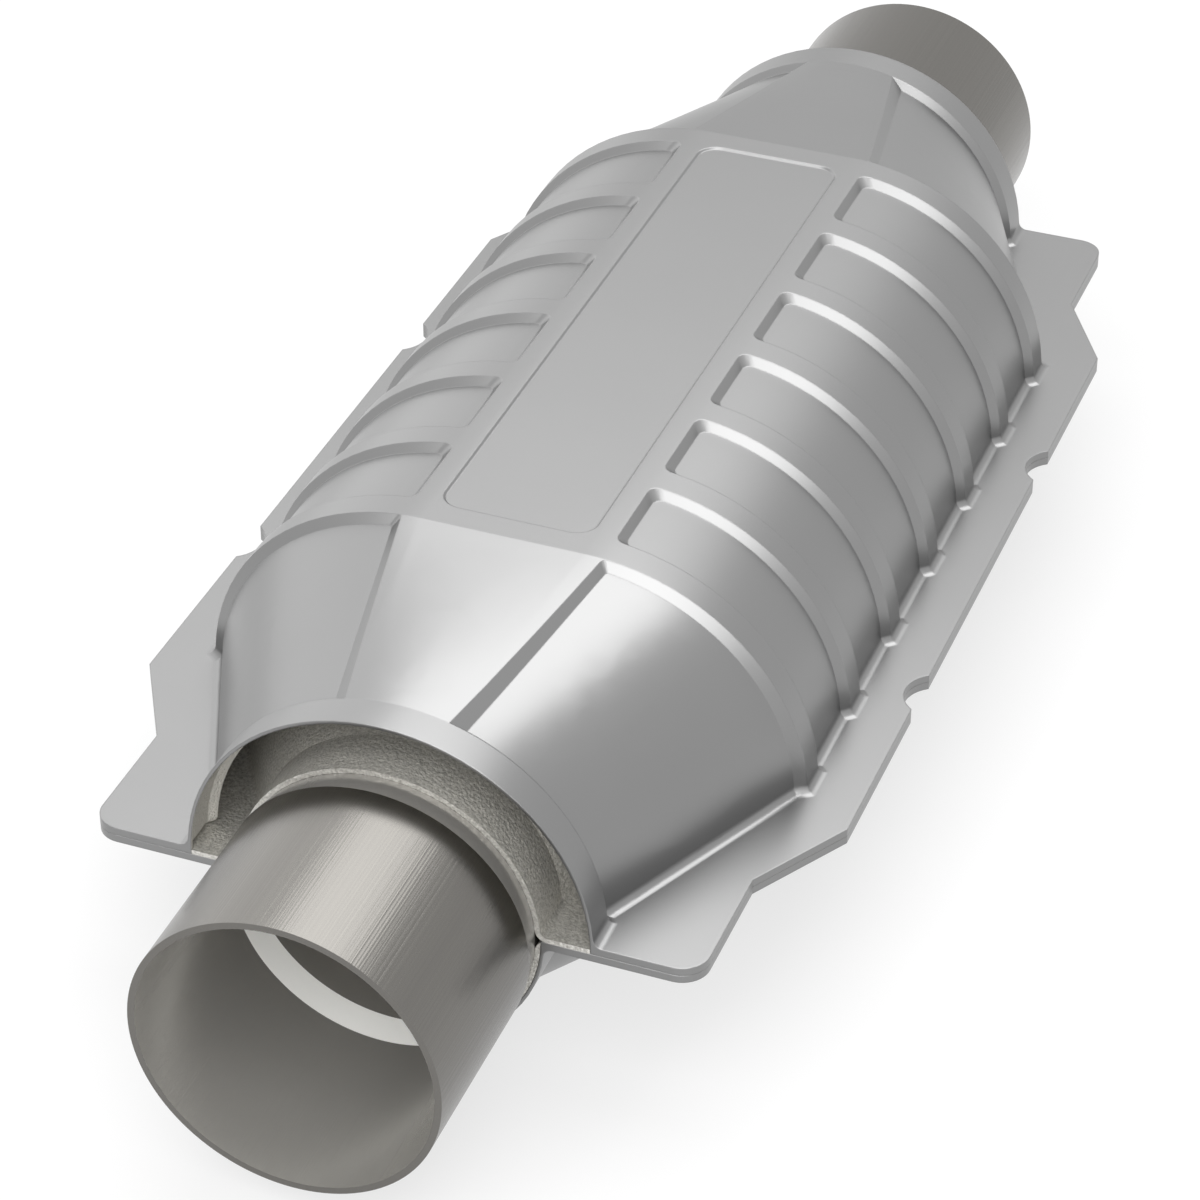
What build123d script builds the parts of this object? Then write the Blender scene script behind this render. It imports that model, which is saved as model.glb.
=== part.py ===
from build123d import *
import os
from math import asin, cos, radians, sin, sqrt, tan

# Catalytic converter for a 2.5 inch exhaust pipe: a clamshell can with an oval
# ceramic core, a stamped heat shield over each half and a swaged pipe socket
# at each end. While it is modelled, the pipe axis is the Y axis (inlet at -Y)
# and the joint between the two can halves is the plane z = 0.

# Driving dimensions, millimetres.
overall_length = 406.4        # 16 inches over both pipe ends
flange_length = 304.8         # 12 inches, from mouth to mouth
joint_clearance = 0.05        # between pieces that are pressed or welded together

# Sheet and pipe walls.
can_sheet = 1.1
shield_sheet = 0.75
pipe_wall = 1.5

# Pipe sockets.
socket_bore_radius = 31.85    # slips over a 63.5 mm pipe
swage_length = 6.2            # ends at the mouth of the can
neck_overlap = 12.0           # how far the swaged neck reaches into the collar

# Can halves.
can_flat_half = 20.0          # half width of the flat top and bottom
can_radius = 39.0             # side radius, outside
can_body_half = 98.0          # straight part, from the middle
collar_length = 12.0
bead_depth = 2.6              # inward bead between the two ceramic bricks
bead_width = 20.0             # outside, over its sloping walls
can_bend_radius = 1.5         # where the walls meet the flange

# Upper heat shield.
shield_flat_half = 18.6
shield_radius = 50.0
shield_body_half = 89.4
lip_radius = 44.8
lip_length = 8.0
land_half_body = 22.5         # raised land of the end cone, at the body
land_half_lip = 11.2          # and at the lip
land_corner_radius = 1.5      # between the land's wall and the body's end wall
shield_bend_radius = 2.0      # where the walls meet the flange, on both shields
round_cap_angle = 14.5        # half angle of the middle arc of a round section

# Pressed panels of the upper heat shield.
panel_count = 6
panel_pitch = 28.6
panel_width = 22.0
panel_inner_edge = 22.5       # distance of the upper edge from the middle plane
panel_depth = 1.7
panel_corner_radius = 3.6
top_panel_half_width = 17.5
top_panel_half_length = 83.0
top_panel_depth = 0.5
top_panel_corner_radius = 5.0

# Flange outline.
tab_half_width = 67.4
flange_half_width = 80.3
waist_y = 121.0               # inner corner where the tab meets the slope
shoulder_y = 98.4             # outer corner at the end of the long side
tab_corner_radius = 6.0
notch_y = 47.65
notch_radius = 7.9
notch_depth = 3.4

# Ceramic core.
brick_length = 80.0
mat_thickness = 3.7
seal_length = 9.0
cell_pitch = 9.0
cell_wall = 1.4

# Worked out from the driving dimensions.
pipe_end = overall_length / 2
mouth = flange_length / 2
socket_outer_radius = socket_bore_radius + pipe_wall
notch_centre = flange_half_width + notch_radius - notch_depth
collar_bore_radius = socket_outer_radius - can_sheet
neck_radius = collar_bore_radius - joint_clearance
swage_start = mouth + swage_length
neck_end = mouth - neck_overlap
collar_end = mouth - collar_length
lip_end = mouth - lip_length
shield_top = can_sheet + shield_sheet
can_inner_radius = can_radius - can_sheet
mat_radius = can_inner_radius - joint_clearance
brick_radius = mat_radius - mat_thickness
big = 2 * overall_length      # larger than the part in every direction
corner_shift = tan(radians(22.5))   # how an offset moves the corner of a 45 degree wall
brick_start = bead_width / 2 + can_sheet * corner_shift + joint_clearance
brick_middle = brick_start + brick_length / 2
rest_height = can_radius + joint_clearance + shield_sheet   # pipe axis above the rest face


def section_plane(y):
    """The plane across the pipe axis at y, with its own x along X and y along Z."""
    return Plane(origin=(0, y, 0), x_dir=(1, 0, 0), z_dir=(0, -1, 0))


def half_section(y, flat, radius, side=1):
    """Half an oval on the joint plane: flat in the middle, round at the sides."""
    split = 90 if flat > 0 else 90 - round_cap_angle
    half_width = flat + radius
    top = (flat + radius * cos(radians(split)), side * radius * sin(radians(split)))
    knee = (flat + radius * cos(radians(split / 2)), side * radius * sin(radians(split / 2)))
    left_top = (-top[0], top[1])
    left_knee = (-knee[0], knee[1])
    crown = Line(top, left_top) if flat > 0 else ThreePointArc(top, (0, side * radius), left_top)
    edges = [
        Line((-half_width, 0), (half_width, 0)),
        ThreePointArc((half_width, 0), knee, top),
        crown,
        ThreePointArc(left_top, left_knee, (-half_width, 0)),
    ]
    return section_plane(y) * make_face(edges)


def prism(y_from, y_to, flat, radius, side=1):
    """The half oval drawn straight along the pipe axis."""
    return loft([half_section(y_from, flat, radius, side), half_section(y_to, flat, radius, side)],
                ruled=True)


def cone(y_body, flat, radius, y_round, round_radius, side=1):
    """The half oval that turns into a half circle."""
    return loft([half_section(y_body, flat, radius, side), half_section(y_round, 0, round_radius, side)],
                ruled=True)


def both_ends(piece):
    """A piece of the inlet end and its mirror image at the outlet end."""
    return [piece, mirror(piece, about=Plane.XZ)]


def oval_face(y, flat, radius):
    """A whole oval across the pipe axis."""
    return half_section(y, flat, radius, 1) + half_section(y, flat, radius, -1)


def oval_ring(y_from, y_to, outer_radius, inner_radius):
    """A ring that lines the can, from y_from to y_to."""
    face = oval_face(y_from, can_flat_half, outer_radius) - oval_face(y_from, can_flat_half, inner_radius)
    return extrude(face, amount=y_to - y_from, dir=(0, 1, 0))


def flange_outline(inset=0.0):
    """Plan of the flange: two end tabs, sloping shoulders and four notches."""
    tab = tab_half_width - inset
    side = flange_half_width - inset
    end = mouth - inset
    slope = (flange_half_width - tab_half_width) / (waist_y - shoulder_y)
    reach = inset * (sqrt(1 + slope ** 2) - 1) / slope
    corners = [(tab, end), (tab, waist_y - reach), (side, shoulder_y - reach)]
    right = corners + [(x, -y) for x, y in reversed(corners)]
    left = [(-x, y) for x, y in reversed(right)]
    face = make_face(Polyline(*right, *left, close=True))
    tab_corners = [v for v in face.vertices() if abs(v.Y) > end - 0.01]
    face = fillet(tab_corners, tab_corner_radius - inset)
    for x in (-1, 1):
        for y in (-1, 1):
            face -= Pos(x * notch_centre, y * notch_y) * Circle(notch_radius + inset)
    return face


def side_panel_tool(x_side, y_middle, inset):
    """What one side panel takes out of the body: a band about the side arc's axis.

    Its walls slope at 45 degrees. An inset tool shapes the inner skin."""
    radius = shield_radius - inset
    floor = radius - panel_depth
    half_floor = panel_width / 2 - panel_depth + inset * corner_shift
    above = panel_depth
    edge_half = half_floor + panel_depth + above
    profile = make_face(Polyline(
        (y_middle - half_floor, floor), (y_middle + half_floor, floor),
        (y_middle + edge_half, radius + above), (y_middle - edge_half, radius + above), close=True))
    band = revolve(Plane.YZ * profile, Axis((0, 0, 0), (0, 1, 0)), 90)
    lean = asin((panel_inner_edge - shield_flat_half) / shield_radius)
    foot = (radius * sin(lean) - inset * corner_shift, 0, radius * cos(lean))
    wall = Plane(origin=foot, x_dir=(0, 1, 0), z_dir=(sin(lean + radians(45)), 0, cos(lean + radians(45))))
    half_space = extrude(wall * Rectangle(big, big), amount=big)
    band &= half_space
    corners = [e for e in band.edges()
               if e.geom_type != GeomType.CIRCLE and e.length < 4 * panel_depth
               and abs(wall.to_local_coords(e.center()).Z) < 0.01]
    band = fillet(corners, panel_corner_radius)
    band = Pos(shield_flat_half, 0, 0) * band
    return band if x_side > 0 else mirror(band, about=Plane.YZ)


def top_panel_tool(inset):
    """What the long panel takes out of the flat top."""
    spread = inset * corner_shift
    floor = Rectangle(2 * (top_panel_half_width - top_panel_depth + spread),
                      2 * (top_panel_half_length - top_panel_depth + spread))
    floor = fillet(floor.vertices(), top_panel_corner_radius - top_panel_depth + spread)
    height = shield_radius - inset - top_panel_depth
    return extrude(Pos(0, 0, height) * floor, amount=2 * top_panel_depth, taper=-45)


def cone_land(inset):
    """The raised land of the inlet cone, with walls that slope at 45 degrees."""
    outer = cone(-shield_body_half, shield_flat_half, shield_radius - inset, -lip_end, lip_radius - inset)
    sections = []
    for y, half, radius, flat in ((shield_body_half, land_half_body, shield_radius, shield_flat_half),
                                  (lip_end, land_half_lip, lip_radius, 0)):
        surface = sqrt(radius ** 2 - (half - flat) ** 2) - inset
        half_here = half - inset * corner_shift
        above = 3 * panel_depth
        below = surface / 2
        sections.append(section_plane(-y) * make_face(Polyline(
            (-half_here + above, surface + above), (half_here - above, surface + above),
            (half_here + below, surface - below), (-half_here - below, surface - below), close=True)))
    return outer & loft(sections, ruled=True)


def land_corners(form, body_end):
    """The four short edges where the cones' lands meet the body's end walls."""
    return [e for e in form.edges()
            if abs(abs((e @ 0.5).Y) - body_end - panel_depth / 2) < panel_depth / 4
            and abs((e @ 0).Y - (e @ 1).Y) > panel_depth / 2
            and 0 < abs((e @ 0.5).X) < land_half_body + 2 * panel_depth]


def shield_form(inset=0.0):
    """The solid form of the shield above the joint, or of the space under its sheet."""
    radius = shield_radius - inset
    round_radius = lip_radius - inset
    body_end = shield_body_half - inset * corner_shift
    lip_start = lip_end + inset * corner_shift
    cone_span = lip_start - body_end
    fall = panel_depth * (shield_radius - lip_radius) / cone_span
    flat_fall = panel_depth * shield_flat_half / cone_span
    form = prism(-body_end, body_end, shield_flat_half, radius)
    floor_radius = radius - panel_depth - fall
    floor_flat = shield_flat_half - flat_fall
    lip_floor = round_radius - panel_depth + fall
    end = [
        loft([half_section(-body_end, shield_flat_half, radius),
              half_section(-body_end - panel_depth, floor_flat, floor_radius)], ruled=True),
        cone(-body_end - panel_depth, floor_flat, floor_radius, -lip_start + panel_depth, lip_floor),
        loft([half_section(-lip_start + panel_depth, 0, lip_floor),
              half_section(-lip_start, 0, round_radius)], ruled=True),
        prism(-lip_start, -mouth - inset, 0, round_radius),
        cone_land(inset),
    ]
    for piece in end:
        for copy in both_ends(piece):
            form += copy
    form = fillet(land_corners(form, body_end), land_corner_radius + inset)
    for number in range(panel_count):
        y_middle = (number - (panel_count - 1) / 2) * panel_pitch
        for x_side in (-1, 1):
            form -= side_panel_tool(x_side, y_middle, inset)
    form -= top_panel_tool(inset)
    return form


def can_form(side, grow=0.0, overrun=0.0, beaded=True):
    """The solid form of one can half, grown outwards, or inwards if grow is negative."""
    radius = can_radius + grow
    collar = socket_outer_radius + grow
    form = prism(-can_body_half, can_body_half, can_flat_half, radius, side)
    for piece in (cone(-can_body_half, can_flat_half, radius, -collar_end, collar, side),
                  prism(-collar_end, -mouth - overrun, 0, collar, side)):
        for copy in both_ends(piece):
            form += copy
    return form - bead_groove(side, grow) if beaded else form


def bead_groove(side, grow):
    """What the bead between the bricks takes out of a can half, with 45 degree walls."""
    radius = can_radius + grow
    floor = radius - bead_depth
    half_floor = bead_width / 2 - bead_depth - grow * corner_shift
    half_edge = half_floor + bead_depth
    core = prism(-half_floor, half_floor, can_flat_half, floor, side)
    wall = loft([half_section(-half_floor, can_flat_half, floor, side),
                 half_section(-half_edge, can_flat_half, radius, side)], ruled=True)
    for copy in both_ends(wall):
        core += copy
    return prism(-half_edge, half_edge, can_flat_half, radius + bead_depth, side) - core


def round_foot(form, height, radius):
    """Rounds the corner all along where a form's walls rise from its plate."""
    inner_plan = Pos(0, 0, height) * flange_outline(radius)
    corner = [e for e in form.edges()
              if abs((e @ 0).Z - height) < 0.001 and abs((e @ 1).Z - height) < 0.001
              and abs((e @ 0.5).Z - height) < 0.001 and inner_plan.is_inside(e @ 0.5)]
    return fillet(corner, radius)


def bent_shield(outside, inside, side):
    """A shield sheet between two forms, bent out to a flange with its edge turned down."""
    outside += extrude(flange_outline(), amount=side * shield_top)
    inside += extrude(flange_outline(shield_sheet), amount=side * can_sheet)
    outside = round_foot(outside, side * shield_top, shield_bend_radius)
    inside = round_foot(inside, side * can_sheet, shield_bend_radius + shield_sheet)
    return outside - inside - extrude(flange_outline(), amount=side * joint_clearance / 2)


def make_upper_heat_shield():
    """One sheet: body, end cones, lips and a rimmed flange, open at both mouths."""
    return bent_shield(shield_form(), shield_form(shield_sheet), 1)


def make_lower_heat_shield():
    """A plain sheet that follows the lower can half and its collars."""
    outside = can_form(-1, joint_clearance + shield_sheet, beaded=False)
    inside = can_form(-1, joint_clearance, shield_sheet, beaded=False)
    return bent_shield(outside, inside, -1)


def make_can_half(side):
    """A can half with its flange, which stops short of the shield's rim.

    The upper flange runs out to the edge where the shield's mouth leaves it bare."""
    face = flange_outline(shield_sheet + joint_clearance)
    if side > 0:
        tongue = 2 * (lip_radius - shield_sheet - joint_clearance)
        for end in (-1, 1):
            face += Pos(0, end * (mouth - shield_sheet)) * Rectangle(tongue, 2 * shield_sheet)
    outside = can_form(side) + extrude(face, amount=side * can_sheet)
    inside = can_form(side, -can_sheet, can_sheet) + extrude(flange_outline(), amount=-side * can_sheet)
    outside = round_foot(outside, side * can_sheet, can_bend_radius)
    inside = round_foot(inside, 0, can_bend_radius + can_sheet)
    return outside - inside


def make_pipe():
    """Inlet pipe: a socket, swaged down by one can sheet to a neck in the collar."""
    profile = make_face(Polyline(
        (socket_bore_radius, -pipe_end), (socket_outer_radius, -pipe_end),
        (socket_outer_radius, -swage_start), (neck_radius, -mouth),
        (neck_radius, -neck_end), (neck_radius - pipe_wall, -neck_end),
        (neck_radius - pipe_wall, -mouth), (socket_bore_radius, -swage_start), close=True))
    return revolve(profile, Axis.Y)


def make_brick(y_middle):
    """Ceramic honeycomb, its channels drawn coarser than the real cells."""
    start = y_middle - brick_length / 2
    face = oval_face(start, can_flat_half, brick_radius)
    cell_half = (cell_pitch - cell_wall) / 2
    clear = brick_radius - cell_wall
    columns = int((can_flat_half + brick_radius) / cell_pitch)
    rows = int(brick_radius / cell_pitch)
    cells = []
    for column in range(-columns, columns + 1):
        for row in range(-rows, rows + 1):
            x = column * cell_pitch
            z = row * cell_pitch
            past_flat = max(abs(x) + cell_half - can_flat_half, 0)
            if sqrt(past_flat ** 2 + (abs(z) + cell_half) ** 2) < clear:
                cells.append(section_plane(start) * Pos(x, z) * Rectangle(2 * cell_half, 2 * cell_half))
    return extrude(face - cells, amount=brick_length, dir=(0, 1, 0))


def make_all():
    """Every piece by the name of its node."""
    pieces = {
        "upper_heat_shield": make_upper_heat_shield(),
        "lower_heat_shield": make_lower_heat_shield(),
        "upper_can_shell": make_can_half(1),
        "lower_can_shell": make_can_half(-1),
    }
    pieces["inlet_pipe"], pieces["outlet_pipe"] = both_ends(make_pipe())
    for place, sign in (("front", -1), ("rear", 1)):
        middle = sign * brick_middle
        low = middle - brick_length / 2
        high = middle + brick_length / 2
        pieces[place + "_catalyst_brick"] = make_brick(middle)
        mat_inner = brick_radius + joint_clearance
        seal_gap = seal_length + joint_clearance
        pieces[place + "_support_mat"] = oval_ring(low + seal_gap, high - seal_gap, mat_radius, mat_inner)
        pieces[place + "_brick_inlet_seal"] = oval_ring(low, low + seal_length, mat_radius, mat_inner)
        pieces[place + "_brick_outlet_seal"] = oval_ring(high - seal_length, high, mat_radius, mat_inner)
    return pieces


os.makedirs("parts", exist_ok=True)
for node, solid in make_all().items():
    export_step(Pos(0, 0, rest_height) * solid, f"parts/{node}.step")
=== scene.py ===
from math import cos, radians, sin

import bpy
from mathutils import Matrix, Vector


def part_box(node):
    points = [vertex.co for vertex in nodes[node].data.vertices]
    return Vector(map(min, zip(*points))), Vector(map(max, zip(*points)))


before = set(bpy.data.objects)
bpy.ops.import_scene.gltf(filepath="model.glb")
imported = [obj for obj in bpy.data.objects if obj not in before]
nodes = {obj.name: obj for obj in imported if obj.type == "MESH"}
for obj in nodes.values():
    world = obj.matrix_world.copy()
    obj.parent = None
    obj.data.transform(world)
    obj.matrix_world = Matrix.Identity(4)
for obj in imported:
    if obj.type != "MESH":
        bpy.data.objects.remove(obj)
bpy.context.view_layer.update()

# A millimetre in metres, the unit of the frame and of every socket that takes a length.
MM = 0.001

# Camera, solved from the photograph, in metres and degrees.
AZIMUTH = 21.03
ELEVATION = 35.48
DISTANCE = 0.9006
LENS_MM = 118.74
SENSOR_MM = 36.0
TARGET_FROM_AXIS = Vector((-0.0011, -0.0295, -0.0065))

# The first, second and result sockets of a Mix node, for each kind of value that it mixes.
MIX_SOCKETS = {"FLOAT": (2, 3, 0), "RGBA": (6, 7, 2)}

# Octaves of the noise that varies a colour, and of the one that dents a surface.
TINT_DETAIL = 3.0
GRAIN_DETAIL = 2.0

# How much of the normal runs along the pipe on its swage, and how far that may be off.
SWAGE_SLOPE = 0.2
SWAGE_SLACK = 0.12

# How near two points at the seam of the mirrored quarter are joined, and how near a point counts
# as on the cut. Both are far below the thickness of a sheet.
SEAM_MERGE = 0.01 * MM
SEAM_CUT = 0.001 * MM

# The middle of the part's length on the pipe axis.
inlet_low, inlet_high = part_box("inlet_pipe")
pipe_axis = Vector((0, 0, (inlet_low[2] + inlet_high[2]) / 2))


def linear(hex_colour):
    """An sRGB hex colour as the linear RGBA that a socket takes."""
    channels = [int(hex_colour[i:i + 2], 16) / 255 for i in (1, 3, 5)]
    return [c / 12.92 if c <= 0.04045 else ((c + 0.055) / 1.055) ** 2.4 for c in channels] + [1]


def add(tree, kind, settings=None, inputs=None, links=None):
    """A node of that kind, with its settings, socket values and incoming links."""
    node = tree.nodes.new(kind)
    for name, value in (settings or {}).items():
        setattr(node, name, value)
    for name, value in (inputs or {}).items():
        node.inputs[name].default_value = value
    for name, source in (links or {}).items():
        tree.links.new(source, node.inputs[name])
    return node


def blank_material(name):
    """A node material with nothing in it."""
    material = bpy.data.materials.new(name)
    material.use_nodes = True
    material.node_tree.nodes.clear()
    return material


def finish_material(material, colour_a, colour_b, patch_mm, grain_mm, depth_mm, shader, edge_mm=0.0):
    """Mixes two near colours in patches, dents the surface by a grain, and outputs the shader.

    patch_mm and grain_mm are the widths of a patch and of a grain along X, Y and Z, and depth_mm
    is the depth of the dents. A sheet whose edges are rounded by the press has their radius in
    edge_mm. The shader node is named surface, and the node that dents it relief."""
    tree = material.node_tree
    where = add(tree, "ShaderNodeTexCoord").outputs["Object"]

    def noise(width_mm, detail):
        waves_per_metre = [1 / (width * MM) for width in width_mm]
        stretched = add(tree, "ShaderNodeMapping", inputs={"Scale": waves_per_metre},
                        links={"Vector": where})
        return add(tree, "ShaderNodeTexNoise", inputs={"Scale": 1.0, "Detail": detail},
                   links={"Vector": stretched.outputs["Vector"]}).outputs["Fac"]

    first, second, result = MIX_SOCKETS["RGBA"]
    tint = add(tree, "ShaderNodeMix", {"data_type": "RGBA"},
               inputs={first: linear(colour_a), second: linear(colour_b)},
               links={0: noise(patch_mm, TINT_DETAIL)})
    relief = add(tree, "ShaderNodeBump", {"name": "relief"},
                 inputs={"Strength": 1.0, "Distance": depth_mm * MM},
                 links={"Height": noise(grain_mm, GRAIN_DETAIL)})
    if edge_mm:
        rounded = add(tree, "ShaderNodeBevel", {"samples": 6}, inputs={"Radius": edge_mm * MM})
        tree.links.new(rounded.outputs["Normal"], relief.inputs["Normal"])
    surface = add(tree, "ShaderNodeBsdfPrincipled", {"name": "surface"}, inputs=shader,
                  links={"Base Color": tint.outputs[result], "Normal": relief.outputs["Normal"]})
    add(tree, "ShaderNodeOutputMaterial", links={"Surface": surface.outputs["BSDF"]})
    return material


def overlay(material, node_name, share, values):
    """Mixes other values into that node's sockets, as far as share says."""
    tree = material.node_tree
    for name, value in values.items():
        socket = tree.nodes[node_name].inputs[name]
        kind = "FLOAT" if isinstance(value, float) else "RGBA"
        first, second, result = MIX_SOCKETS[kind]
        mix = add(tree, "ShaderNodeMix", {"data_type": kind}, inputs={second: value},
                  links={0: share})
        if socket.links:
            tree.links.new(socket.links[0].from_socket, mix.inputs[first])
        else:
            mix.inputs[first].default_value = socket.default_value
        tree.links.new(mix.outputs[result], socket)


def inner_side(tree):
    """1 on the faces that look at the pipe axis, and 0 on the others.

    It rises from 0 at 6 degrees past edge-on to 1 at 30 degrees past it."""
    spot = add(tree, "ShaderNodeTexCoord")
    from_axis = add(tree, "ShaderNodeMapping",
                    inputs={"Location": -pipe_axis, "Scale": (1, 0, 1)},
                    links={"Vector": spot.outputs["Object"]})
    outwards = add(tree, "ShaderNodeVectorMath", {"operation": "NORMALIZE"},
                   links={0: from_axis.outputs["Vector"]})
    facing = add(tree, "ShaderNodeVectorMath", {"operation": "DOT_PRODUCT"},
                 links={0: spot.outputs["Normal"], 1: outwards.outputs["Vector"]})
    return add(tree, "ShaderNodeMapRange", inputs={"From Min": -0.1, "From Max": -0.5},
               links={"Value": facing.outputs["Value"]}).outputs["Result"]


def swage_side(tree):
    """1 on the pipe's swage, a cone of about 10 degrees, and 0 on its cylinders and ends."""
    spot = add(tree, "ShaderNodeTexCoord")
    normal = add(tree, "ShaderNodeSeparateXYZ", links={0: spot.outputs["Normal"]})
    slope = add(tree, "ShaderNodeMath", {"operation": "ABSOLUTE"}, links={0: normal.outputs["Y"]})
    return add(tree, "ShaderNodeMath", {"operation": "COMPARE"},
               inputs={1: SWAGE_SLOPE, 2: SWAGE_SLACK}, links={0: slope.outputs[0]}).outputs[0]


def shield_steel():
    """Stainless sheet as stamped: an even satin skin outside, a sandy one on the inner side.

    The inner side is also painted paler and less metallic than the outer skin, as painted light
    that lifts the shade in the hollow and its dark reflection in the pipe. The sand's grain is as
    wide as in the photograph. The skin's is finer than a pixel of the render, 0.23 mm, and is
    drawn as wide as the sand's, but a hundred times shallower."""
    sheet = finish_material(blank_material("satin_stamped_stainless"), "#8A8A8A", "#8E8E8E",
                            (40, 40, 40), (0.588, 0.588, 0.588), 0.003,
                            {"Metallic": 1.0, "Roughness": 0.35}, edge_mm=0.4)
    inside = inner_side(sheet.node_tree)
    # Painted light: the inner side's pale colour and low metallic lift the shade in the hollow; its
    # sand grain is real.
    overlay(sheet, "surface", inside,
            {"Base Color": linear("#D4D2CC"), "Metallic": 0.35, "Roughness": 0.4})
    overlay(sheet, "relief", inside, {"Distance": 0.3 * MM})
    return sheet


def brushed_tube():
    """Stainless tube ground along its length, with fine lines outside.

    The lines spread a reflection round the tube and keep it sharp along it. Single ones are too
    fine to show, so they are drawn as streaks, about as wide as those in the photograph. The bore
    is painted paler and less metallic than the steel outside, as painted light in its shade. The
    swage is painted paler and duller outside, as painted light over its dark reflection of the
    hollow, and painted white inside, as a painted highlight."""
    tube = finish_material(blank_material("lengthwise_brushed_stainless"), "#6F6D6A", "#787672",
                           (0.385, 1000, 0.385), (0.385, 1000, 0.385), 0.05,
                           {"Metallic": 1.0, "Roughness": 0.24, "Anisotropic": 0.75})
    tree = tube.node_tree
    around = add(tree, "ShaderNodeTangent", {"direction_type": "RADIAL", "axis": "Y"})
    tree.links.new(around.outputs["Tangent"], tree.nodes["surface"].inputs["Tangent"])
    inside = inner_side(tree)
    swage = swage_side(tree)
    swage_inside = add(tree, "ShaderNodeMath", {"operation": "MULTIPLY"},
                       links={0: inside, 1: swage}).outputs[0]
    # Painted light: the swage's paler, duller band outside lifts its dark reflection of the hollow.
    overlay(tube, "surface", swage, {"Base Color": linear("#94928E"), "Metallic": 0.5})
    # Painted light: the bore's pale colour and low metallic brighten its shade.
    overlay(tube, "surface", inside, {"Base Color": linear("#C6C4BF"), "Metallic": 0.65})
    # Painted highlight: the swage inside is painted white.
    overlay(tube, "surface", swage_inside, {"Base Color": linear("#FFFFFC"), "Metallic": 0.0})
    return tube


def can_steel():
    """Sheet with the sandy grain of an uncoated ferritic stainless stamping.

    The grain is as wide as in the photograph. Its tone runs from dark to near white in patches of
    the grain's size: partly the sheet's mottled tone, partly painted glints of the grain. The
    sheet is also painted paler and less metallic than its steel, as painted light that lifts the
    shade in the hollow."""
    # Painted glints and painted light: the wide spread of tone and the pale, low-metallic sheet.
    return finish_material(blank_material("sandy_ferritic_stainless"), "#7E7C76", "#F6F4EE",
                           (0.588, 0.588, 0.588), (0.769, 0.769, 0.769), 0.3,
                           {"Metallic": 0.6, "Roughness": 0.35})


def washcoated_ceramic():
    """Cordierite honeycomb with its washcoat: dull, chalky and sand coloured.

    The chalk's grain is drawn coarser than real, so that it shows."""
    return finish_material(blank_material("washcoated_cordierite"), "#8F836A", "#A39679",
                           (3.33, 3.33, 3.33), (0.667, 0.667, 0.667), 0.04, {"Roughness": 0.9})


def fibre_mat():
    """Alumina fibre mat: pale, dull and felted, in tufts of 2 mm with finer fluff on them."""
    return finish_material(blank_material("felted_alumina_fibre"), "#B4AA94", "#C8C0AC",
                           (2, 2, 2), (0.556, 0.556, 0.556), 0.08, {"Roughness": 0.95})


def knitted_mesh():
    """Pressed ring of knitted stainless wire: a dark metal with a coarse weave of 1 mm."""
    return finish_material(blank_material("pressed_knitted_wire"), "#5E5D5A", "#8A8883",
                           (1, 1, 1), (1, 1, 1), 0.1,
                           {"Metallic": 1.0, "Roughness": 0.5})


def dress(material, *names):
    """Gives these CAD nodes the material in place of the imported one."""
    for name in names:
        mesh = nodes[name].data
        mesh.materials.clear()
        mesh.materials.append(material)


dress(shield_steel(), "upper_heat_shield", "lower_heat_shield")
dress(can_steel(), "upper_can_shell", "lower_can_shell")
dress(brushed_tube(), "inlet_pipe", "outlet_pipe")
dress(washcoated_ceramic(), "front_catalyst_brick", "rear_catalyst_brick")
dress(fibre_mat(), "front_support_mat", "rear_support_mat")
dress(knitted_mesh(), *[name for name in nodes if name.endswith("_seal")])


def show_clean_quarter(name):
    """Shows the quarter of that CAD node at +X and +Y in place of the other three.

    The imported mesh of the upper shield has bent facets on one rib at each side. The shield is
    the same in all four quarters, and this one has none."""
    mirror = nodes[name].modifiers.new("clean_quarter", "MIRROR")
    mirror.use_axis = (True, True, False)
    mirror.use_bisect_axis = (True, True, False)
    mirror.merge_threshold = SEAM_MERGE
    mirror.bisect_threshold = SEAM_CUT


show_clean_quarter("upper_heat_shield")


def seen_or_reflected(tree):
    """1 where the camera, a reflection or a see-through ray looks, and 0 elsewhere."""
    path = add(tree, "ShaderNodeLightPath").outputs
    shown = add(tree, "ShaderNodeMath", {"operation": "MAXIMUM"},
                links={0: path["Is Camera Ray"], 1: path["Is Glossy Ray"]})
    return add(tree, "ShaderNodeMath", {"operation": "MAXIMUM"},
               links={0: shown.outputs[0], 1: path["Is Transmission Ray"]}).outputs[0]


def white_studio(ambient):
    """A world that is white where it shows and plain dim light elsewhere."""
    world = bpy.data.worlds.new("white_studio")
    world.use_nodes = True
    tree = world.node_tree
    tree.nodes.clear()
    white = linear("#FFFFFF")
    dim = add(tree, "ShaderNodeBackground", inputs={"Color": white, "Strength": ambient})
    bright = add(tree, "ShaderNodeBackground", inputs={"Color": white, "Strength": 1.0})
    mix = add(tree, "ShaderNodeMixShader",
              links={0: seen_or_reflected(tree), 1: dim.outputs[0], 2: bright.outputs[0]})
    add(tree, "ShaderNodeOutputWorld", links={"Surface": mix.outputs[0]})
    bpy.context.scene.world = world


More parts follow.
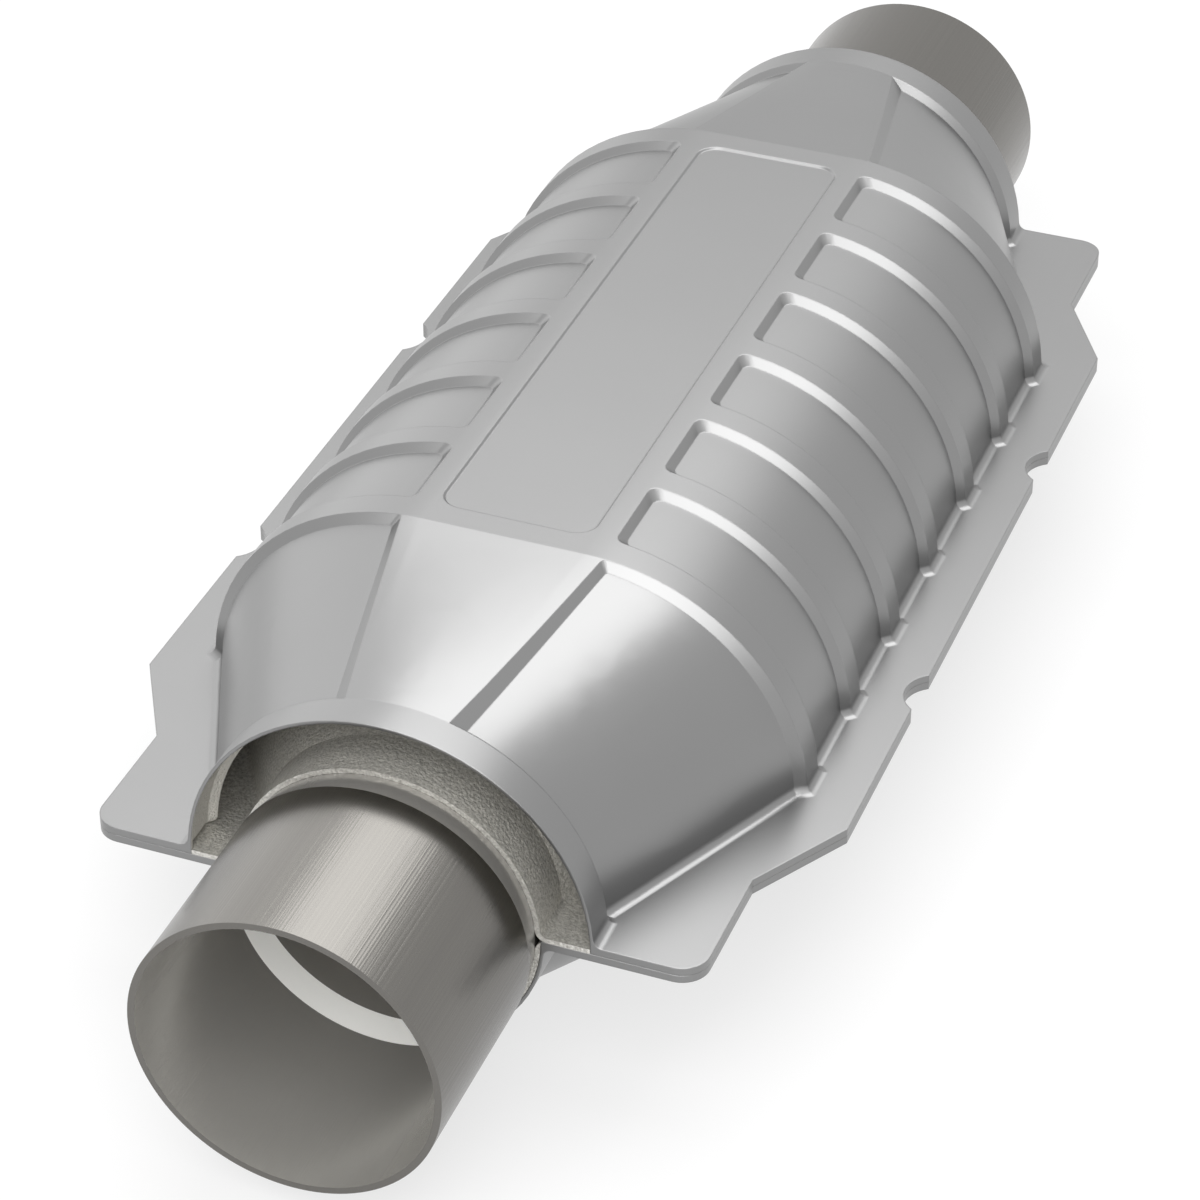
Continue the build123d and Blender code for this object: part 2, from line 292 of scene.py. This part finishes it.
def pale_floor(size, glow):
    """The floor that the part rests on: white paper that keeps a light shadow of the part.

    glow is the share of plain white in what the camera and the reflections see of it."""
    bpy.ops.mesh.primitive_plane_add(size=size, location=(0, 0, 0))
    floor = bpy.context.object
    floor.name = "floor"
    material = blank_material("white_paper")
    tree = material.node_tree
    paper = add(tree, "ShaderNodeBsdfDiffuse", inputs={"Color": linear("#DADADA")})
    white = add(tree, "ShaderNodeEmission", inputs={"Color": linear("#FFFFFF"), "Strength": 1.0})
    share = add(tree, "ShaderNodeMath", {"operation": "MULTIPLY"}, inputs={1: glow},
                links={0: seen_or_reflected(tree)})
    mix = add(tree, "ShaderNodeMixShader",
              links={0: share.outputs[0], 1: paper.outputs["BSDF"], 2: white.outputs["Emission"]})
    add(tree, "ShaderNodeOutputMaterial", links={"Surface": mix.outputs[0]})
    floor.data.materials.append(material)


def direction(azimuth, elevation):
    """The unit vector that points from the part to there, in degrees, with 0 at the near end."""
    round_it, above_it = radians(azimuth), radians(elevation)
    level = cos(above_it)
    return Vector((sin(round_it) * level, -cos(round_it) * level, sin(above_it)))


def soft_lamp(name, azimuth, elevation, distance, size, watts):
    """A square lamp that looks at the part from that azimuth and elevation."""
    data = bpy.data.lights.new(name, "AREA")
    data.size = size
    data.energy = watts
    lamp = bpy.data.objects.new(name, data)
    bpy.context.scene.collection.objects.link(lamp)
    away = direction(azimuth, elevation)
    lamp.location = pipe_axis + away * distance
    lamp.rotation_euler = away.to_track_quat("Z", "Y").to_euler()


def photo_camera():
    """The camera of the photograph: its direction, distance and lens, with no shift."""
    data = bpy.data.cameras.new("photo_camera")
    data.lens = LENS_MM
    data.sensor_width = SENSOR_MM
    camera = bpy.data.objects.new("photo_camera", data)
    bpy.context.scene.collection.objects.link(camera)
    away = direction(AZIMUTH, ELEVATION)
    camera.location = pipe_axis + TARGET_FROM_AXIS + away * DISTANCE
    camera.rotation_mode = "QUATERNION"
    camera.rotation_quaternion = away.to_track_quat("Z", "Y")
    bpy.context.scene.camera = camera


white_studio(ambient=0.6)
pale_floor(size=20.0, glow=0.7)
soft_lamp("back", azimuth=175, elevation=69, distance=2.0, size=1.9, watts=32)
soft_lamp("front", azimuth=8, elevation=41, distance=2.0, size=2.0, watts=40)
soft_lamp("left", azimuth=-120, elevation=20, distance=2.0, size=1.9, watts=8)
photo_camera()
bpy.context.scene.view_settings.view_transform = "Standard"
